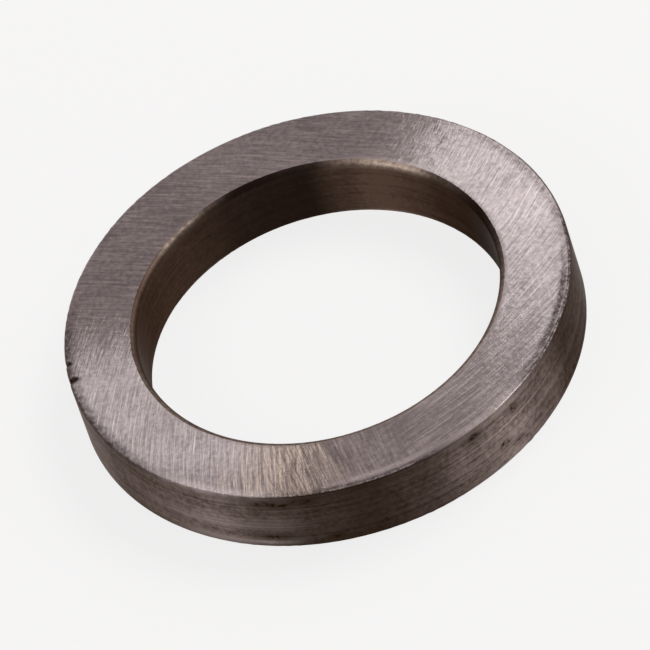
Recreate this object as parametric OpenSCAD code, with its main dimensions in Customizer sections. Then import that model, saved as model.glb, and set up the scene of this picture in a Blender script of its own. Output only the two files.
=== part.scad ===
// Sprocket spacer: a turned steel ring of plain rectangular section.
// It slips over a shaft and holds a sprocket off its shoulder by the ring's thickness.
// The ring lies on its lower face. The bore's axis is Z, and the lower face is at Z = 0.

/* [Ring] */
// Diameter of the rim
outer_d = 44.45; // [40:0.05:60]
// Diameter of the bore that slides over the shaft
bore_d = 31.75; // [20:0.05:36]
// Distance between the two flat faces
thickness = 6.35; // [2:0.05:15]

/* [Edges] */
// Leg of the 45 degree chamfer at each mouth of the bore
bore_chamfer = 0.35; // [0.1:0.05:0.8]
// Leg of the 45 degree edge break at each end of the rim
rim_break = 0.15; // [0.05:0.05:0.5]

/* [Hidden] */
$fn = 180;

steel = "#8c807e";
rim_r = outer_d / 2;
bore_r = bore_d / 2;

// Half section of the ring as [radius, height], from the bore's lower mouth round to its upper one
function ring_section() = [
    [bore_r, bore_chamfer],
    [bore_r + bore_chamfer, 0],
    [rim_r - rim_break, 0],
    [rim_r, rim_break],
    [rim_r, thickness - rim_break],
    [rim_r - rim_break, thickness],
    [bore_r + bore_chamfer, thickness],
    [bore_r, thickness - bore_chamfer]
];

// The whole spacer, turned from one bar
module spacer_ring() {
    color(steel)
        rotate_extrude()
            polygon(ring_section());
}

spacer_ring();
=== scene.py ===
import math

import bpy
import numpy as np
from mathutils import Matrix, Vector


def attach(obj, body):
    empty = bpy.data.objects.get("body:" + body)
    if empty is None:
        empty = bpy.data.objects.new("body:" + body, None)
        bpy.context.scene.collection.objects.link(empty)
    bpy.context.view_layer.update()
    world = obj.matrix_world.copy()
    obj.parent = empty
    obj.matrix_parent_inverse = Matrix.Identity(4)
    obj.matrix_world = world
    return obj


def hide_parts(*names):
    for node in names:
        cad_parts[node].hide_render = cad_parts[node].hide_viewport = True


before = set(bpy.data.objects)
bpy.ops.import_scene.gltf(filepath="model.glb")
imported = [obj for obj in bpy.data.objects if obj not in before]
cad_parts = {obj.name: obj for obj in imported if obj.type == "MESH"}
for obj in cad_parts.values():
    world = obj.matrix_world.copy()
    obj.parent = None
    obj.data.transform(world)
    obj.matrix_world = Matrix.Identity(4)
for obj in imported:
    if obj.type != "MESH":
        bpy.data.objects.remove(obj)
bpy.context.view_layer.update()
mm = 0.001
rng = np.random.default_rng(7)


# sizes read off the solid: its widest and narrowest radius, its height, and how far the lower face
# stops short of the rim and of the bore
def measureRing():
    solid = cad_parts["spacer_ring"].data
    co = np.zeros(len(solid.vertices) * 3)
    solid.vertices.foreach_get("co", co)
    co = co.reshape(-1, 3)
    radius = np.hypot(co[:, 0], co[:, 1])
    height = co[:, 2]
    lowerFace = radius[height < height.min() + 0.01 * mm]  # within a hundredth of a mm of the lowest
    return {
        "rim": radius.max(),
        "bore": radius.min(),
        "thick": height.max(),
        "rimBreak": radius.max() - lowerFace.max(),
        "boreChamfer": lowerFace.min() - radius.min(),
    }


ring = measureRing()
print("ring sizes in mm:", {name: round(value / mm, 3) for name, value in ring.items()})

# the shape that turning and wear left, in mm unless a note says otherwise
turning = {
    "segments": 720,  # steps round the ring
    "finestStep": 1e-4,  # radians; a step closer than this is dropped
    "boreFeed": 0.56,  # tool advance per turn
    "boreFeedDepth": 0.006,
    "boreFeedVaries": (0.5, 1.0),  # share of that depth, from mark to mark
    "boreRowsPerFeed": 4,
    "rimRows": 30,
    "rimLineDepth": 0.006,
    "rimLineFade": (0.6, 0.4),  # mean share of that depth round the rim, and its swing
    "rimLineWaves": (1, 6),  # fewest and most waves of the swing round the ring
    "rimCorner": 0.07,  # how far a corner's rounding reaches
    "boreCorner": 0.18,
    "cornerClear": 1.2,  # no row comes nearer to a corner than this many reaches
    "lowerFaceAt": [0.2, 0.5, 0.8, 0.94],  # rows as shares of the face, bore to rim
    "upperFaceAt": [0.1, 0.3, 0.5, 0.68, 0.76, 0.82, 0.86, 0.885, 0.905, 0.925, 0.945, 0.962, 0.98],
    "raggedBreak": 0.20,  # how much the rim's edge break varies, as a share of it
    "raggedChamfer": 0.04,
    "raggedWaves": [(0.6, (3, 30)), (0.5, (60, 180))],  # weight, then fewest and most waves
    "raggedLess": 0.15,  # an uneven break is also a little smaller
    "raggedLimits": (0.35, 1.8),
}
nicks = {  # dents in the upper outer edge
    "inwards": 0.5,  # shares of the depth that go along the radius and straight down
    "downwards": 0.86,
    "stepsReach": 0.02,  # radians to each side of a dent that get more steps
    "steps": 17,
    "darkGain": 4.0,  # the darkening reaches further out than the dent
    "darkMost": 1.5,
    "darkOffFace": 0.5,  # share of it on the edge and on the rim
    "dents": [  # degrees, then mm along the edge, across it and deep
        {"at": 179.0, "along": 0.26, "across": 0.60, "depth": 0.36},
        {"at": 173.8, "along": 0.20, "across": 0.45, "depth": 0.26},
    ],
}
# rusted hollows in the rim: degrees, mm above the lower face, then mm along the rim, up it and deep,
# and how dark the rust in them is
rimPits = [
    {"at": -55.0, "height": 5.0, "along": 0.55, "up": 0.45, "depth": 0.05, "rust": 0.8},
    {"at": -66.8, "height": 5.5, "along": 0.60, "up": 0.40, "depth": 0.05, "rust": 0.8},
    {"at": -59.8, "height": 2.2, "along": 0.70, "up": 0.50, "depth": 0.06, "rust": 0.8},
    {"at": -56.2, "height": 1.4, "along": 0.70, "up": 0.35, "depth": 0.03, "rust": 0.6},
    {"at": -115.5, "height": 1.3, "along": 1.30, "up": 0.35, "depth": 0.04, "rust": 0.8},
    {"at": -102.2, "height": 0.9, "along": 0.70, "up": 0.30, "depth": 0.05, "rust": 0.9},
    {"at": -116.3, "height": 5.5, "along": 1.10, "up": 0.35, "depth": 0.03, "rust": 0.8},
    {"at": -112.8, "height": 5.3, "along": 1.20, "up": 0.50, "depth": 0.03, "rust": 0.8},
    {"at": -107.5, "height": 5.6, "along": 1.30, "up": 0.35, "depth": 0.03, "rust": 0.8},
]


# sum of cosines with whole numbers of waves round the ring, so it closes; about -1 to 1
def ringNoise(angle, fewest, most):
    count = 40
    waves = rng.integers(fewest, most + 1, count)
    phase = rng.uniform(0, 2 * np.pi, count)
    size = rng.uniform(0.4, 1.0, count)
    total = (size[:, None] * np.cos(waves[:, None] * angle[None, :] + phase[:, None])).sum(0)
    return total / np.sqrt((size ** 2).sum())


# a rounded corner: three points of a quadratic curve that leaves one edge and meets the other at the
# same reach from the corner, with the corner as its control point
def roundCorner(before, corner, after, reach):
    start = corner + (before - corner) / np.linalg.norm(before - corner) * reach
    end = corner + (after - corner) / np.linalg.norm(after - corner) * reach
    t = np.linspace(0, 1, 3)[:, None]
    return (1 - t) ** 2 * start + 2 * t * (1 - t) * corner + t ** 2 * end


# half section as rows of (radius, height) with the zone of each row: a closed loop of eight edges,
# lower face outwards, rim upwards, upper face inwards, bore downwards
def ringSection():
    boreR, rimR, thick = ring["bore"], ring["rim"], ring["thick"]
    chamfer, edge = ring["boreChamfer"], ring["rimBreak"]
    corners = np.array([
        [boreR + chamfer, 0], [rimR - edge, 0], [rimR, edge], [rimR, thick - edge],
        [rimR - edge, thick], [boreR + chamfer, thick], [boreR, thick - chamfer], [boreR, chamfer],
    ])
    zoneOf = ["face", "edge", "rim", "edge", "face", "chamfer", "bore", "chamfer"]
    grooves = round((thick - 2 * chamfer) / (turning["boreFeed"] * mm))
    rows = {  # by the number of the edge; the others have one row in the middle
        0: np.array(turning["lowerFaceAt"]),
        2: np.linspace(0, 1, turning["rimRows"] + 2)[1:-1],
        4: 1 - np.array(turning["upperFaceAt"])[::-1],
        6: np.linspace(0, 1, grooves * turning["boreRowsPerFeed"] + 1)[1:-1],
    }
    points, zones = [], []
    for i, zone in enumerate(zoneOf):
        here, after, before = corners[i], corners[(i + 1) % 8], corners[i - 1]
        reach = (turning["rimCorner"] if 1 <= i <= 4 else turning["boreCorner"]) * mm
        rounded = roundCorner(before, here, after, reach)
        share = rows.get(i, np.array([0.5]))
        clear = turning["cornerClear"] * reach / np.linalg.norm(after - here)
        share = share[(share > clear) & (share < 1 - clear)][:, None]
        points += [rounded, here + share * (after - here)]
        zones += [zone] * (len(rounded) + len(share))
    return np.concatenate(points), np.array(zones), grooves


# dents the upper outer edge in place: a bell curve along it times one of the distance from the edge,
# pushed inwards and down; gives back how much darker they are drawn
def dentEdge(angle, radius, height, zones):
    darkened = np.zeros_like(radius)
    fromEdge = np.hypot(radius - ring["rim"], height - ring["thick"])
    for dent in nicks["dents"]:
        off = (angle - math.radians(dent["at"]) + np.pi) % (2 * np.pi) - np.pi
        bell = np.exp(-(off * ring["rim"] / (dent["along"] * mm)) ** 2)[:, None]
        bell = bell * np.exp(-(fromEdge / (dent["across"] * mm)) ** 2)
        radius -= nicks["inwards"] * dent["depth"] * mm * bell
        height -= nicks["downwards"] * dent["depth"] * mm * bell
        filled = np.clip(nicks["darkGain"] * bell, 0, nicks["darkMost"])
        darkened = np.maximum(darkened, filled * np.where(zones == "face", 1.0, nicks["darkOffFace"]))
    return darkened


# hollows the rim in place: a bell curve along it times one up it, cut inwards; gives back the rust
def pitRim(angle, radius, height, zones):
    rust = np.zeros_like(radius)
    for pit in rimPits:
        along = (angle - math.radians(pit["at"])) * ring["rim"] / (pit["along"] * mm)
        up = (height - pit["height"] * mm) / (pit["up"] * mm)
        bell = np.exp(-along[:, None] ** 2 - up ** 2) * np.isin(zones, ["rim", "edge"])
        radius -= pit["depth"] * mm * bell
        rust = np.maximum(rust, pit["rust"] * bell)
    return rust


# the section turned about Z: radius and height as whole arrays over (angle, row), then cut and worn
def turnRing():
    section, zones, grooves = ringSection()
    angle = np.linspace(-np.pi, np.pi, turning["segments"], endpoint=False)
    reach = np.linspace(-nicks["stepsReach"], nicks["stepsReach"], nicks["steps"])
    closer = [math.radians(dent["at"]) + reach for dent in nicks["dents"]]
    angle = np.sort((np.concatenate([angle] + closer) + np.pi) % (2 * np.pi) - np.pi)
    angle = angle[np.append(True, np.diff(angle) > turning["finestStep"])]
    radius = np.repeat(section[None, :, 0], len(angle), 0)
    height = np.repeat(section[None, :, 1], len(angle), 0)
    thick, chamfer = ring["thick"], ring["boreChamfer"]

    # bore: round-nosed tool marks, a parabola per feed, each a little different in depth
    inBore = zones == "bore"
    mark = (section[inBore, 1] - chamfer) / (thick - 2 * chamfer) * grooves
    scallop = 1 - (2 * (mark % 1) - 1) ** 2
    eachDepth = rng.uniform(*turning["boreFeedVaries"], grooves + 1)[np.floor(mark).astype(int)]
    radius[:, inBore] += turning["boreFeedDepth"] * mm * scallop * eachDepth

    # rim: fine lines of uneven depth, cut inwards
    inRim = zones == "rim"
    lineDepth = rng.uniform(0, 1, inRim.sum()) ** 2
    mean, swing = turning["rimLineFade"]
    fade = mean + swing * ringNoise(angle, *turning["rimLineWaves"])
    radius[:, inRim] -= turning["rimLineDepth"] * mm * np.clip(lineDepth * fade[:, None], 0, None)

    # edge breaks: the distance from the sharp corner grows and shrinks round the ring
    uneven = {
        "edge": (ring["rim"], turning["raggedBreak"]),
        "chamfer": (ring["bore"], turning["raggedChamfer"]),
    }
    for zone, (cornerR, amount) in uneven.items():
        for cornerZ in (0.0, thick):
            here = (zones == zone) & (np.abs(section[:, 1] - cornerZ) < thick / 2)
            waves = sum(weight * ringNoise(angle, *count) for weight, count in turning["raggedWaves"])
            grow = 1 + amount * (waves - turning["raggedLess"])
            grow = np.clip(grow, *turning["raggedLimits"])[:, None]
            radius[:, here] = cornerR + (section[here, 0] - cornerR) * grow
            height[:, here] = cornerZ + (section[here, 1] - cornerZ) * grow

    # the dents are drawn darker, and the pits rusty
    darkened = dentEdge(angle, radius, height, zones)
    darkened = np.maximum(darkened, pitRim(angle, radius, height, zones))
    return angle, radius, height, zones, darkened


# closes the grid of (angle, row) both ways into quads that face outwards
def gridFaces(around, across):
    a = np.arange(around)[:, None]
    r = np.arange(across)[None, :]
    nextA, nextR = (a + 1) % around, (r + 1) % across
    quad = np.stack([a * across + r, nextA * across + r, nextA * across + nextR, a * across + nextR], -1)
    return quad.reshape(-1, 4)


# an object at the origin from points and quads, each corner of a quad in turn as one loop
def meshFromGrid(name, points, quads):
    mesh = bpy.data.meshes.new(name)
    mesh.vertices.add(len(points))
    mesh.vertices.foreach_set("co", points.astype(np.float32).ravel())
    mesh.loops.add(quads.size)
    mesh.loops.foreach_set("vertex_index", quads.astype(np.int32).ravel())
    mesh.polygons.add(len(quads))
    mesh.polygons.foreach_set("loop_start", np.arange(0, quads.size, 4, dtype=np.int32))
    mesh.polygons.foreach_set("use_smooth", np.ones(len(quads), bool))
    mesh.update()
    mesh.validate()
    piece = bpy.data.objects.new(name, mesh)
    bpy.context.scene.collection.objects.link(piece)
    return piece


# one number for each point, which the materials read by name
def addAttribute(piece, name, values):
    layer = piece.data.attributes.new(name, "FLOAT", "POINT")
    layer.data.foreach_set("value", values.astype(np.float32).ravel())


# sRGB hex to linear RGBA
def linear(hexColour):
    channels = [int(hexColour[i:i + 2], 16) / 255 for i in (1, 3, 5)]
    return [c / 12.92 if c <= 0.04045 else ((c + 0.055) / 1.055) ** 2.4 for c in channels] + [1.0]


# adds one node: sockets by name or number, each a value or the output that feeds it; gives back one output
def addNode(tree, kind, inputs=None, take=None, **settings):
    node = tree.nodes.new(kind)
    for name, value in settings.items():
        setattr(node, name, value)
    for key, value in (inputs or {}).items():
        if isinstance(key, int):
            socket = node.inputs[key]
        else:
            socket = next(s for s in node.inputs if s.name == key and s.enabled)
        if isinstance(value, bpy.types.NodeSocket):
            tree.links.new(value, socket)
        else:
            socket.default_value = value
    if take:
        return node.outputs[take]
    return next((s for s in node.outputs if s.enabled), None)


# an empty material and its tree of nodes
def newMaterial(name):
    material = bpy.data.materials.new(name)
    material.use_nodes = True
    material.node_tree.nodes.clear()
    return material, material.node_tree


# weighted sum of patterns: each times its weight, added one after the other
def weighedSum(tree, parts):
    total = 0.0
    for pattern, weight in parts:
        total = addNode(tree, "ShaderNodeMath", {
            0: pattern, 1: weight, 2: total,
        }, operation="MULTIPLY_ADD")
    return total


# an attribute broken up by a pattern: times a factor that runs between two values over the pattern
def brokenUp(tree, name, pattern, look):
    factor = addNode(tree, "ShaderNodeMapRange", {
        "Value": pattern, "From Min": look["from"], "From Max": look["to"],
        "To Min": look["atLow"], "To Max": look["atHigh"],
    })
    amount = addNode(tree, "ShaderNodeAttribute", take="Fac", attribute_name=name)
    return addNode(tree, "ShaderNodeMath", {0: amount, 1: factor}, operation="MULTIPLY", use_clamp=True)


# swings of the grinding wheel over the flat faces, each over the one before: where the new lines begin
# and end, counter-clockwise in degrees, and how softly. lay is the hairlines' direction from +X in the
# middle of the swing, and swing is the radius in mm that they curve on, about a point beside the ring
strokes = [
    {"middle": 113, "lay": 152, "swing": 300},  # all over
    {"middle": 226, "lay": 76, "swing": -56, "from": 173, "to": 300, "fadeIn": 28, "fadeOut": 5},
    {"middle": 269, "lay": 95, "swing": -200, "from": 252, "to": 300, "fadeIn": 22, "fadeOut": 5},
    {"middle": 347, "lay": 40.5, "swing": 55, "from": 278, "to": 405, "fadeIn": 14, "fadeOut": 26},
]
ground = {
    "light": "#d0c6c7",
    "dark": "#a3999a",
    "toneSpread": 0.38,  # from the mean tone to the darkest and the lightest
    "roughness": {"from": 0.3, "to": 0.7, "atLow": 0.43, "atHigh": 0.33},  # in the furrows and between them
    "anisotropy": 0.95,
    # sizes in mm, and the share in the tone. Real hairlines are about 0.02 mm wide and real scratches
    # 0.05 mm: both are drawn coarser, so that they show
    "hairline": {"length": 1.8, "width": 0.08, "depth": 0.014, "tone": 0.8},
    "scratch": {"length": 3.5, "width": 0.24, "depth": 0.036, "tone": 1.7},
    "grain": {"size": 0.45, "depth": 0.016, "tone": 1.5},
    "patch": {"size": 4.0, "tone": 0.8},
    "apart": 3.7,  # each swing has lines of its own, from this far off in the noise
    # a swing over an older one: weights and limits of the new lines, then the shares of lines and dust
    "overlap": {"hairs": 6.0, "furrows": 1.0, "from": 2.5, "to": 4.5, "lines": 0.55, "dust": 0.45},
    # scratches that cut bright metal, with an arc where more of them do, and a stain on an arc:
    # from and to in degrees and the soft ends, and the most that the arc adds
    "score": {
        "colour": "#ece4e3", "from": 0.60, "to": 0.78, "amount": 0.7,
        "arc": (-88, -42, 10), "most": 0.09,
    },
    "stain": {
        "dark": "#8f827a", "light": "#f0dcc4", "from": 0.40, "to": 0.60,
        "arc": (-119, -101, 12), "most": 0.75,
    },
    # dirt, and painted shade on some bands; rubbing, and painted highlights on some bands: colours, and how
    # much shows over the grain, low to high
    "soilAndShade": {"colour": "#3d332f", "from": 0.35, "to": 0.65, "atLow": 1.28, "atHigh": 0.72},
    "wearAndHighlight": {"colour": "#e2d8d6", "from": 0.35, "to": 0.65, "atLow": 1.6, "atHigh": 0.4},
}


# centre of a swing in metres, on the normal of its hairlines at the middle of its arc
def swingCentre(stroke):
    middle, lay = math.radians(stroke["middle"]), math.radians(stroke["lay"])
    meanRadius = (ring["rim"] + ring["bore"]) / 2
    start = meanRadius * np.array([math.cos(middle), math.sin(middle)])
    return start + stroke["swing"] * mm * np.array([-math.sin(lay), math.cos(lay)]), start


# hairlines and scratches of one swing: noise over (length of arc, distance from the centre), drawn out
# along the arc; and the direction across them, which points away from the centre
def swungLines(tree, place, stroke, number):
    centre, start = swingCentre(stroke)
    turn = -math.atan2(start[1] - centre[1], start[0] - centre[0])  # puts the arc's middle on +X
    cosine, sine = math.cos(turn), math.sin(turn)
    moved = (-(cosine * centre[0] - sine * centre[1]), -(sine * centre[0] + cosine * centre[1]), 0.0)
    flat = addNode(tree, "ShaderNodeMapping", {
        "Vector": place, "Location": moved, "Rotation": (0, 0, turn), "Scale": (1, 1, 0),
    }, vector_type="POINT")
    x = addNode(tree, "ShaderNodeSeparateXYZ", {0: flat}, take="X")
    y = addNode(tree, "ShaderNodeSeparateXYZ", {0: flat}, take="Y")
    sweep = addNode(tree, "ShaderNodeMath", {0: y, 1: x}, operation="ARCTAN2")
    along = addNode(tree, "ShaderNodeMath", {
        0: sweep, 1: abs(stroke["swing"]) * mm,
    }, operation="MULTIPLY")
    away = addNode(tree, "ShaderNodeVectorMath", {0: flat}, take="Value", operation="LENGTH")
    swung = addNode(tree, "ShaderNodeCombineXYZ", {0: along, 1: away, 2: ground["apart"] * number})
    lines = []
    for cut in (ground["hairline"], ground["scratch"]):
        scaled = addNode(tree, "ShaderNodeMapping", {
            "Vector": swung, "Scale": (cut["length"] * mm, cut["width"] * mm, 1.0),
        }, vector_type="TEXTURE")
        lines.append(addNode(tree, "ShaderNodeTexNoise", {
            "Vector": scaled, "Scale": 1.0, "Detail": 2.0, "Roughness": 0.6,
        }))
    across = addNode(tree, "ShaderNodeVectorMath", {
        0: place, 1: (centre[0], centre[1], 0),
    }, operation="SUBTRACT")
    across = addNode(tree, "ShaderNodeVectorMath", {0: across}, operation="NORMALIZE")
    return lines[0], lines[1], across


# ground steel: hairlines side by side that pull highlights out across them, with scratches, a tan stain,
# and soiled and rubbed places, some of which are painted shade and painted highlights. Where two swings
# overlap the tone goes over softly, but each point has the lie and the relief of one of them only: the new
# one's, once its share beats a pattern made of the new lines and of dust
def groundSteel():
    material, tree = newMaterial("groundSteel")
    place = addNode(tree, "ShaderNodeTexCoord", take="Object")
    grain = addNode(tree, "ShaderNodeTexNoise", {
        "Vector": place, "Scale": 1 / (ground["grain"]["size"] * mm), "Detail": 3.0, "Roughness": 0.6,
    })
    patches = addNode(tree, "ShaderNodeTexNoise", {
        "Vector": place, "Scale": 1 / (ground["patch"]["size"] * mm), "Detail": 3.0,
    })
    dust = addNode(tree, "ShaderNodeTexWhiteNoise", {"Vector": place}, take="Value", noise_dimensions="3D")
    overlap = ground["overlap"]
    hairs = furrows = tangent = normal = None
    for number, stroke in enumerate(strokes):
        newHairs, newFurrows, across = swungLines(tree, place, stroke, number)
        relief = weighedSum(tree, [
            (newHairs, ground["hairline"]["depth"]), (newFurrows, ground["scratch"]["depth"]),
            (grain, ground["grain"]["depth"]),
        ])
        bump = addNode(tree, "ShaderNodeBump", {"Strength": 1.0, "Distance": mm, "Height": relief})
        if number == 0:
            hairs, furrows, tangent, normal = newHairs, newFurrows, across, bump
            continue
        share = addNode(tree, "ShaderNodeAttribute", take="Fac", attribute_name=f"stroke{number}")
        hairs = addNode(tree, "ShaderNodeMix", {"Factor": share, "A": hairs, "B": newHairs})
        furrows = addNode(tree, "ShaderNodeMix", {"Factor": share, "A": furrows, "B": newFurrows})
        newLines = weighedSum(tree, [(newHairs, overlap["hairs"]), (newFurrows, overlap["furrows"])])
        newLines = addNode(tree, "ShaderNodeMapRange", {
            "Value": newLines, "From Min": overlap["from"], "From Max": overlap["to"],
        })
        threshold = weighedSum(tree, [(newLines, overlap["lines"]), (dust, overlap["dust"])])
        swept = addNode(tree, "ShaderNodeMath", {0: share, 1: threshold}, operation="GREATER_THAN")
        tangent = addNode(tree, "ShaderNodeMix", {
            "Factor": swept, "A": tangent, "B": across,
        }, data_type="VECTOR")
        normal = addNode(tree, "ShaderNodeMix", {
            "Factor": swept, "A": normal, "B": bump,
        }, data_type="VECTOR")

    patterns = {"hairline": hairs, "scratch": furrows, "grain": grain, "patch": patches}
    tone = weighedSum(tree, [(pattern, ground[name]["tone"]) for name, pattern in patterns.items()])
    middle = 0.5 * sum(ground[name]["tone"] for name in patterns)
    tone = addNode(tree, "ShaderNodeMapRange", {
        "Value": tone, "From Min": middle - ground["toneSpread"], "From Max": middle + ground["toneSpread"],
    })
    colour = addNode(tree, "ShaderNodeMix", {
        "Factor": tone, "A": linear(ground["dark"]), "B": linear(ground["light"]),
    }, data_type="RGBA")

    score = ground["score"]
    more = addNode(tree, "ShaderNodeAttribute", take="Fac", attribute_name="score")
    deeper = addNode(tree, "ShaderNodeMath", {0: furrows, 1: more}, operation="ADD")
    scores = addNode(tree, "ShaderNodeMapRange", {
        "Value": deeper, "From Min": score["from"], "From Max": score["to"], "To Max": score["amount"],
    })
    colour = addNode(tree, "ShaderNodeMix", {
        "Factor": scores, "A": colour, "B": linear(score["colour"]),
    }, data_type="RGBA")

    stain = ground["stain"]
    streaks = addNode(tree, "ShaderNodeMapRange", {
        "Value": furrows, "From Min": stain["from"], "From Max": stain["to"],
    })
    streaked = addNode(tree, "ShaderNodeMix", {
        "Factor": streaks, "A": linear(stain["dark"]), "B": linear(stain["light"]),
    }, data_type="RGBA")
    stained = addNode(tree, "ShaderNodeAttribute", take="Fac", attribute_name="stain")
    colour = addNode(tree, "ShaderNodeMix", {
        "Factor": stained, "A": colour, "B": streaked,
    }, data_type="RGBA")

    # the soil brings in dirt and painted shade, the wear rubbing and painted highlights
    for name in ("soilAndShade", "wearAndHighlight"):
        colour = addNode(tree, "ShaderNodeMix", {
            "Factor": brokenUp(tree, name, grain, ground[name]),
            "A": colour, "B": linear(ground[name]["colour"]),
        }, data_type="RGBA")
    rough = addNode(tree, "ShaderNodeMapRange", {
        "Value": furrows, "From Min": ground["roughness"]["from"], "From Max": ground["roughness"]["to"],
        "To Min": ground["roughness"]["atLow"], "To Max": ground["roughness"]["atHigh"],
    })
    shader = addNode(tree, "ShaderNodeBsdfPrincipled", {
        "Base Color": colour, "Metallic": 1.0, "Roughness": rough,
        "Anisotropic": ground["anisotropy"], "Tangent": tangent, "Normal": normal,
    })
    addNode(tree, "ShaderNodeOutputMaterial", {"Surface": shader})
    return material


oxide = {
    "rim": {
        "dark": "#271a0c", "light": "#a79590", "bareAndHighlight": "#b4a8a5",
        "contrast": 0.62, "roughness": 0.42, "depth": 0.016,
    },
    "bore": {
        "dark": "#170e0a", "light": "#5d4a3f", "bareAndHighlight": "#efdccc",
        "contrast": 0.35, "roughness": 0.45, "depth": 0.008,
    },
    "edgeTint": "#b3afad",  # the film keeps the wall dark at a glancing view
    "anisotropy": 0.6,
    # length round the ring and width along the axis in mm, then the shares in the tone and in the relief.
    # Real tool lines are as fine as 0.05 mm: they are drawn coarser, so that they show
    "line": {"length": 25.0, "width": 0.16, "tone": 1.2, "relief": 1.0},
    "band": {"length": 22.0, "width": 0.50, "tone": 1.0, "relief": 2.0},
    "pit": {"length": 1.6, "width": 1.0, "relief": -1.5},
    "blotch": {"size": 3.0, "tone": 0.6},
    "speck": {"size": 0.40, "tone": 1.0},
    "toneLimits": (1.53, 2.27),
    "rust": {"colour": "#170e0a", "more": 0.12, "from": 0.70, "to": 0.80, "amount": 0.75},
    # rubbing, with the painted highlight along the bore's chamfer, and darkening break up over the specks
    "wearAndHighlight": {"from": 0.32, "to": 0.68, "atLow": 1.4, "atHigh": 0.6},
    "soilAndShade": {"from": 0.38, "to": 0.62, "atLow": 0.25, "atHigh": 1.6},
}


# turned steel under a brown oxide film: rings of tool lines, darker blotches and rust spots, and bare metal
# where an edge is rubbed. The film's level round the ring also holds painted highlights and painted dark
# reflections, and along the bore's chamfer the bare colour is a painted highlight
def oxidisedSteel(zone):
    look = oxide[zone]
    material, tree = newMaterial(zone + "OxidisedSteel")
    place = addNode(tree, "ShaderNodeTexCoord", take="Object")
    drawn = {}
    for name in ("line", "band", "pit"):
        length, width = oxide[name]["length"] * mm, oxide[name]["width"] * mm
        scaled = addNode(tree, "ShaderNodeMapping", {
            "Vector": place, "Scale": (length, length, width),
        }, vector_type="TEXTURE")
        drawn[name] = addNode(tree, "ShaderNodeTexNoise", {
            "Vector": scaled, "Scale": 1.0, "Detail": 3.0, "Roughness": 0.6,
        })
    drawn["blotch"] = addNode(tree, "ShaderNodeTexNoise", {
        "Vector": place, "Scale": 1 / (oxide["blotch"]["size"] * mm), "Detail": 4.0, "Roughness": 0.6,
    })
    drawn["speck"] = addNode(tree, "ShaderNodeTexNoise", {
        "Vector": place, "Scale": 1 / (oxide["speck"]["size"] * mm), "Detail": 2.0,
    })

    # the film, with its painted highlights and painted dark reflections: lighter and darker about its own
    # level at each angle
    toned = ("line", "band", "blotch", "speck")
    tone = weighedSum(tree, [(drawn[name], oxide[name]["tone"]) for name in toned])
    tone = addNode(tree, "ShaderNodeMapRange", {
        "Value": tone, "From Min": oxide["toneLimits"][0], "From Max": oxide["toneLimits"][1],
        "To Min": 1 - look["contrast"], "To Max": 1 + look["contrast"],
    })
    filmAndReflections = addNode(tree, "ShaderNodeAttribute", take="Fac", attribute_name="filmAndReflections")
    tone = addNode(tree, "ShaderNodeMath", {0: tone, 1: filmAndReflections}, operation="MULTIPLY", use_clamp=True)
    colour = addNode(tree, "ShaderNodeMix", {
        "Factor": tone, "A": linear(look["dark"]), "B": linear(look["light"]),
    }, data_type="RGBA")

    rust = oxide["rust"]
    pits = addNode(tree, "ShaderNodeAttribute", take="Fac", attribute_name="pits")
    pits = weighedSum(tree, [(drawn["pit"], 1.0), (pits, rust["more"])])
    pits = addNode(tree, "ShaderNodeMapRange", {
        "Value": pits, "From Min": rust["from"], "From Max": rust["to"], "To Max": rust["amount"],
    })
    colour = addNode(tree, "ShaderNodeMix", {
        "Factor": pits, "A": colour, "B": linear(rust["colour"]),
    }, data_type="RGBA")
    # the bare colour over rubbed edges, which along the bore's chamfer is a painted highlight, and the dark
    # one over darkened dents and rust
    for name, over in (("wearAndHighlight", look["bareAndHighlight"]), ("soilAndShade", look["dark"])):
        colour = addNode(tree, "ShaderNodeMix", {
            "Factor": brokenUp(tree, name, drawn["speck"], oxide[name]),
            "A": colour, "B": linear(over),
        }, data_type="RGBA")

    relief = weighedSum(tree, [
        (drawn["line"], oxide["line"]["relief"]), (drawn["band"], oxide["band"]["relief"]),
        (pits, oxide["pit"]["relief"]),
    ])
    bump = addNode(tree, "ShaderNodeBump", {
        "Strength": 1.0, "Distance": look["depth"] * mm, "Height": relief,
    })
    axis = addNode(tree, "ShaderNodeCombineXYZ", {2: 1.0})
    shader = addNode(tree, "ShaderNodeBsdfPrincipled", {
        "Base Color": colour, "Metallic": 1.0, "Roughness": look["roughness"],
        "Specular Tint": linear(oxide["edgeTint"]), "Anisotropic": oxide["anisotropy"],
        "Tangent": axis, "Normal": bump,
    })
    addNode(tree, "ShaderNodeOutputMaterial", {"Surface": shader})
    return material


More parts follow.
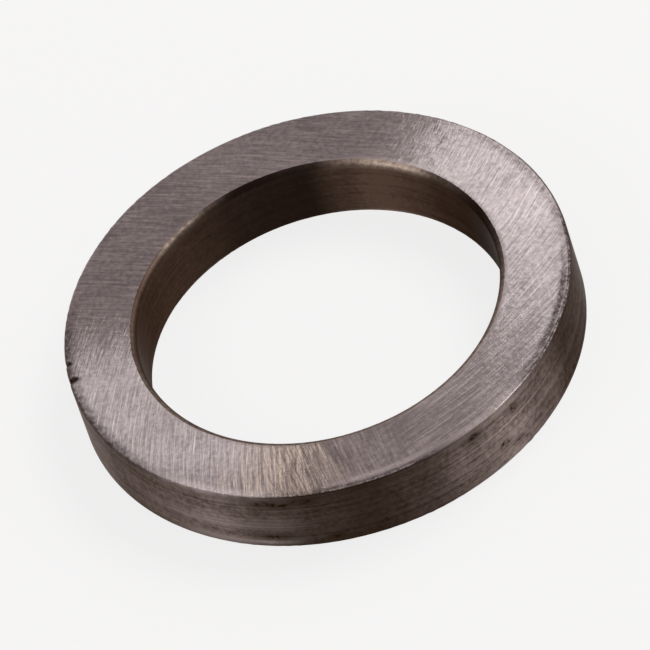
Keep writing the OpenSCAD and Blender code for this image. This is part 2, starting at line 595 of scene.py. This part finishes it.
# levels round the ring by angle in degrees. Film is 0 where the oxide is thick and dark and 1 where it is
# worn thin; its knots also hold painted highlights, on the rim near -57 and -129 degrees and in the bore near
# 58 and 130, and a painted dark reflection on the rim's front near -93. The rim's edges are 1 where they are
# rubbed bright, the bore's edge also where its chamfer has a painted highlight, and pits are 1 where rust
# spots cluster
roundRing = {
    "rimFilmAndReflections": [
        (-165, 0.5), (-153, 0.32), (-141, 0.36), (-129, 0.46), (-117, 0.22), (-105, 0.09), (-93, 0.05),
        (-81, 0.12), (-69, 0.37), (-57, 0.7), (-45, 0.41), (-33, 0.15), (-21, 0.19), (0, 0.35), (110, 0.3),
    ],
    "boreFilmAndReflections": [
        (-160, 0.5), (-90, 0.4), (-20, 0.4), (10, 0.2), (22, 0.3), (34, 0.43), (46, 0.67), (58, 1.1),
        (70, 0.6), (82, 0.12), (94, 0.15), (106, 0.2), (118, 0.4), (130, 0.52), (166, 0.55),
    ],
    "rimEdge": [
        (-180, 0.1), (-150, 0.0), (-140, 0.2), (-130, 0.4), (-119, 0.2), (-108, 0.0), (-75, 0.0),
        (-66, 0.2), (-58, 0.35), (-48, 0.1), (-38, 0.0), (0, 0.0), (60, 0.1), (140, 0.2),
    ],
    # painted highlight along the bore's chamfer near 46 to 66 and 112 to 130 degrees, and some rubbing
    "boreEdge": [
        (-150, 0.3), (-30, 0.3), (18, 0.0), (36, 0.15), (46, 0.9), (57, 1.0), (66, 0.5), (78, 0.05),
        (103, 0.0), (112, 0.1), (121, 0.3), (130, 0.22), (138, 0.05), (150, 0.0), (170, 0.05),
    ],
    "pits": [
        (-180, 0.1), (-120, 0.2), (-98, 0.6), (-85, 0.2), (-66, 0.4), (-50, 0.4), (-38, 0.3), (40, 0.3),
    ],
}
# soiled and rubbed places on the upper face, most along its borders and a few faint ones over its whole
# width: from and to in degrees, soft ends, then mm from the axis where the band begins, is full from and
# to, and ends. Some are painted light and shade: the dark bands along the outer border from -52 to 4
# degrees, the faint ones over the whole width, and the bright bands on the inner border
faceMarks = {
    "soilAndShade": [
        # painted dark reflection just inside the rounded outer edge
        {"from": -45, "to": -11, "soft": 8, "band": (21.15, 21.4, 21.75, 21.93), "amount": 0.72},
        # painted shade over the glint of the rounded outer edge
        {"from": -52, "to": 4, "soft": 6, "band": (21.78, 21.95, 22.4, 22.6), "amount": 0.85},
        {"from": 158, "to": 216, "soft": 9, "band": (21.1, 22.0, 22.2, 22.4), "amount": 0.72},
        {"from": -12, "to": 36, "soft": 8, "band": (21.1, 21.7, 21.8, 22.2), "amount": 0.40},
        {"from": -112, "to": -72, "soft": 8, "band": (21.6, 22.05, 22.2, 22.4), "amount": 0.7},
        # faint painted shade over the whole width, here and on the next two lines
        {"from": 115, "to": 151, "soft": 12, "band": (15, 15.5, 22.5, 23), "amount": 0.12},
        {"from": 67, "to": 83, "soft": 8, "band": (15, 15.5, 22.5, 23), "amount": 0.09},
        {"from": -23, "to": -7, "soft": 8, "band": (15, 15.5, 22.5, 23), "amount": 0.09},
    ],
    "wearAndHighlight": [
        {"from": -138, "to": -116, "soft": 5, "band": (21.3, 21.7, 21.95, 22.2), "amount": 0.65},
        {"from": -71, "to": -53, "soft": 4, "band": (21.4, 21.75, 22.0, 22.2), "amount": 1.0},
        {"from": -98, "to": -76, "soft": 5, "band": (21.0, 21.3, 21.5, 21.8), "amount": 1.0},
        # faint painted highlight over the whole width
        {"from": -84, "to": -52, "soft": 8, "band": (15, 15.5, 21.4, 21.8), "amount": 0.08},
        # painted highlight of the bore's chamfer on the face's inner border, here and on the next line
        {"from": 44, "to": 67, "soft": 6, "band": (16.0, 16.1, 16.3, 16.9), "amount": 1.0},
        {"from": 114, "to": 134, "soft": 5, "band": (16.0, 16.1, 16.3, 16.7), "amount": 0.7},
    ],
}
# light lines rubbed into the rim: the same, with mm above the lower face
rimStreaks = [
    {"from": -137, "to": -113, "soft": 4, "band": (0.35, 0.55, 0.7, 0.9), "amount": 0.4},
    {"from": -145, "to": -112, "soft": 8, "band": (1.9, 2.4, 3.0, 3.4), "amount": 0.11},
]
edges = {
    "rimReach": 0.32,  # mm of the wall over which the rubbing fades
    "boreReach": 0.25,
    "fall": 1.4,  # how steeply it does
    "flicker": 0.35,  # how much the rubbing varies round the ring
    "flickerWaves": (30, 150),
    "flickerMost": 1.4,
    "boreFlicker": 0.25,  # share of that at the bore
    "filmGain": 0.35,  # how much thicker the rim's film is at the corner
    "filmReach": 0.6,
}


# value round the ring between given angles, eased by half a cosine from each to the next
def easeRound(angle, knots):
    at = np.radians([k[0] for k in knots])
    level = np.array([k[1] for k in knots])
    at = np.append(at, at[0] + 2 * np.pi)
    level = np.append(level, level[0])
    turned = (angle - at[0]) % (2 * np.pi) + at[0]
    i = np.clip(np.searchsorted(at, turned, side="right") - 1, 0, len(knots) - 1)
    share = (turned - at[i]) / (at[i + 1] - at[i])
    return level[i] + (level[i + 1] - level[i]) * (0.5 - 0.5 * np.cos(np.pi * share))


# soft-ended arc round the ring, counter-clockwise: 0 before it, 1 inside, 0 after it
def arcShare(angle, start, end, softIn, softOut):
    half = math.radians(end - start) / 2
    off = (angle - math.radians(start) - half + np.pi) % (2 * np.pi) - np.pi
    rise = 0.5 + (off + half) / math.radians(2 * softIn)
    fall = 0.5 + (half - off) / math.radians(2 * softOut)
    return np.clip(np.minimum(rise, fall), 0, 1)


# the strongest of several bands: each is its arc's share times a slope up and down over the distance
def bandLevel(angle, distance, bands):
    level = np.zeros_like(distance)
    for band in bands:
        share = arcShare(angle, band["from"], band["to"], band["soft"], band["soft"])[:, None]
        across = np.interp(distance / mm, band["band"], [0, 1, 1, 0])
        level = np.maximum(level, band["amount"] * share * across)
    return level


# what the materials read at each point: the shares of the swings, of the scored and of the stained arc,
# and the levels of oxide, rust spots, rubbing and dirt, with painted highlights, painted dark reflections
# and painted shade among them
def markRing(piece, angle, radius, height, zones, darkened):
    everyRow = np.ones(len(zones))
    for number, stroke in enumerate(strokes[1:], 1):
        share = arcShare(angle, stroke["from"], stroke["to"], stroke["fadeIn"], stroke["fadeOut"])
        share = share ** 2 * (3 - 2 * share)
        addAttribute(piece, f"stroke{number}", share[:, None] * everyRow)
    for name in ("score", "stain"):
        start, end, soft = ground[name]["arc"]
        share = ground[name]["most"] * arcShare(angle, start, end, soft, soft)
        addAttribute(piece, name, share[:, None] * everyRow)

    level = {name: easeRound(angle, knots)[:, None] for name, knots in roundRing.items()}
    addAttribute(piece, "pits", level["pits"] * everyRow)
    outside = np.isin(zones, ["rim", "edge"])
    fromFace = np.clip(np.minimum(height, ring["thick"] - height), 0, None) / mm
    # the film's level holds painted highlights and painted dark reflections as well as the oxide
    rimFilmAndReflections = level["rimFilmAndReflections"] * (1 - edges["filmGain"] * np.exp(-fromFace / edges["filmReach"]))
    addAttribute(piece, "filmAndReflections", np.where(outside, rimFilmAndReflections, level["boreFilmAndReflections"]))

    # rubbed edges, and the painted highlight along the bore's chamfer, fade over the wall beside them
    reach = np.where(outside, edges["rimReach"], edges["boreReach"])
    fade = np.exp(-(fromFace / reach) ** edges["fall"])
    flicker = 1 + edges["flicker"] * ringNoise(angle, *edges["flickerWaves"])
    flicker = np.clip(flicker, 0, edges["flickerMost"])[:, None]
    boreFlicker = 1 + edges["boreFlicker"] * (flicker - 1)
    wearAndHighlight = np.where(outside, level["rimEdge"] * flicker, level["boreEdge"] * boreFlicker) * fade
    wearAndHighlight = np.maximum(wearAndHighlight, outside * bandLevel(angle, height, rimStreaks))

    # the upper face has its own marks, and the lower one none
    onFace = zones == "face"
    onTop = onFace & (height[0] > ring["thick"] / 2)
    faceWearAndHighlight = onTop * bandLevel(angle, radius, faceMarks["wearAndHighlight"])
    soilAndShade = onTop * bandLevel(angle, radius, faceMarks["soilAndShade"])
    addAttribute(piece, "wearAndHighlight", np.where(onFace, faceWearAndHighlight, wearAndHighlight))
    addAttribute(piece, "soilAndShade", np.maximum(soilAndShade, darkened))


# the whole ring: x and y are the radius times the cosine and the sine of the angle, and each row of
# quads has the material of its zone
def buildRing():
    angle, radius, height, zones, darkened = turnRing()
    points = np.stack([radius * np.cos(angle)[:, None], radius * np.sin(angle)[:, None], height], -1)
    quads = gridFaces(*radius.shape)
    piece = meshFromGrid("spacer", points.reshape(-1, 3), quads)
    for material in (groundSteel(), oxidisedSteel("rim"), oxidisedSteel("bore")):
        piece.data.materials.append(material)
    slotOf = {"face": 0, "rim": 1, "edge": 1, "bore": 2, "chamfer": 2}
    rowSlot = np.array([slotOf[zone] for zone in zones], np.int32)
    piece.data.polygons.foreach_set("material_index", np.tile(rowSlot, len(angle)))
    markRing(piece, angle, radius, height, zones, darkened)
    print("ring mesh:", len(quads) * 2, "triangles,", len(zones), "rows")
    print("ring finishes:", [material.name for material in piece.data.materials])
    return piece


spacer = buildRing()
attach(spacer, "root")
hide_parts("spacer_ring")

studio = {
    "floorReach": 3.0,  # metres from the middle to each side
    "floorBelow": 0.01,  # mm under the ring
    "floorColour": "#f2f1ef",
    "floorWhite": 0.80,  # share of plain white that the floor shows to the eye and to the metal
    "horizon": 0.90,  # brightness of the world at the horizon
    "sky": 0.34,  # and above it
    "horizonEnds": (0.06, 0.30),  # heights on a unit sphere between which one goes over into the other
    "skyColour": "#fff0ee",
    # direction in degrees, distance and size in metres, and the brightness of the panel itself
    "lamps": [
        {"name": "window", "azimuth": 27, "elevation": 50, "distance": 0.6,
         "size": (0.48, 0.32), "level": 3.2},
        {"name": "leftStrip", "azimuth": -160, "elevation": 36, "distance": 0.6,
         "size": (0.2, 0.26), "level": 2.25},
    ],
}


# a square of matt white paper that keeps the ring's shadow; the eye and the metal see it mixed with
# plain white
def buildFloor():
    reach, below = studio["floorReach"], -studio["floorBelow"] * mm
    corners = [(-reach, -reach, below), (reach, -reach, below), (reach, reach, below), (-reach, reach, below)]
    mesh = bpy.data.meshes.new("floor")
    mesh.from_pydata(corners, [], [(0, 1, 2, 3)])
    floor = bpy.data.objects.new("floor", mesh)
    bpy.context.scene.collection.objects.link(floor)
    material, tree = newMaterial("floorPaper")
    path = tree.nodes.new("ShaderNodeLightPath")
    seen = 0.0
    for ray in ("Is Camera Ray", "Is Glossy Ray", "Is Transmission Ray"):
        seen = addNode(tree, "ShaderNodeMath", {0: path.outputs[ray], 1: seen}, operation="MAXIMUM")
    share = addNode(tree, "ShaderNodeMath", {0: seen, 1: studio["floorWhite"]}, operation="MULTIPLY")
    paper = addNode(tree, "ShaderNodeBsdfDiffuse", {"Color": linear(studio["floorColour"])})
    white = addNode(tree, "ShaderNodeEmission", {"Strength": 1.0})
    shader = addNode(tree, "ShaderNodeMixShader", {0: share, 1: paper, 2: white})
    addNode(tree, "ShaderNodeOutputMaterial", {"Surface": shader})
    mesh.materials.append(material)


# unit vector from azimuth, counter-clockwise from +X, and elevation above the floor
def towards(azimuth, elevation):
    a, e = math.radians(azimuth), math.radians(elevation)
    return Vector((math.cos(e) * math.cos(a), math.cos(e) * math.sin(a), math.sin(e)))


# two soft panels that look at the ring, with an energy of pi times the brightness times the area; and a
# world that is bright at the horizon and dimmer above it
def buildLights():
    for spec in studio["lamps"]:
        lamp = bpy.data.lights.new(spec["name"], "AREA")
        lamp.shape = "RECTANGLE"
        lamp.size, lamp.size_y = spec["size"]
        lamp.energy = spec["level"] * math.pi * lamp.size * lamp.size_y
        holder = bpy.data.objects.new(spec["name"], lamp)
        way = towards(spec["azimuth"], spec["elevation"])
        holder.location = way * spec["distance"]
        holder.rotation_euler = (-way).to_track_quat("-Z", "Y").to_euler()
        bpy.context.scene.collection.objects.link(holder)
    world = bpy.data.worlds.new("studio")
    bpy.context.scene.world = world
    world.use_nodes = True
    tree = world.node_tree
    tree.nodes.clear()
    way = addNode(tree, "ShaderNodeTexCoord", take="Generated")
    up = addNode(tree, "ShaderNodeSeparateXYZ", {"Vector": way}, take="Z")
    level = addNode(tree, "ShaderNodeMapRange", {
        "Value": up, "From Min": studio["horizonEnds"][0], "From Max": studio["horizonEnds"][1],
        "To Min": studio["horizon"], "To Max": studio["sky"],
    }, interpolation_type="SMOOTHSTEP")
    glow = addNode(tree, "ShaderNodeBackground", {"Color": linear(studio["skyColour"]), "Strength": level})
    addNode(tree, "ShaderNodeOutputWorld", {"Surface": glow})


shot = {
    "elevation": 45.4,  # of the eye above the ring's faces, degrees
    "roll": 18.8,  # how far the ring's long axis rises to the right in the picture
    "distance": 0.8,  # metres
    "fill": 0.80,  # share of the frame's width that the rim takes
    "sensor": 36,  # mm
    "clipEnd": 20,
}


# the camera in front of the ring at its elevation, turned about the line of sight by the roll; the lens
# is the sensor times the distance over the width that the frame takes in
def buildCamera():
    data = bpy.data.cameras.new("camera")
    camera = bpy.data.objects.new("camera", data)
    bpy.context.scene.collection.objects.link(camera)
    back = towards(-90, shot["elevation"])
    right = Vector((1, 0, 0))
    up = back.cross(right)
    roll = math.radians(shot["roll"])
    rolledRight = right * math.cos(roll) - up * math.sin(roll)
    rolledUp = right * math.sin(roll) + up * math.cos(roll)
    turned = Matrix((rolledRight, rolledUp, back)).transposed().to_4x4()
    middle = Vector((0, 0, ring["thick"] / 2))
    camera.matrix_world = Matrix.Translation(middle + back * shot["distance"]) @ turned
    data.sensor_width = shot["sensor"]
    data.lens = shot["sensor"] * shot["distance"] * shot["fill"] / (2 * ring["rim"])
    data.clip_end = shot["clipEnd"]
    bpy.context.scene.camera = camera


buildFloor()
buildLights()
buildCamera()
bpy.context.scene.view_settings.view_transform = "Standard"
print("studio ready:", len(studio["lamps"]), "lamps, the floor and the camera")
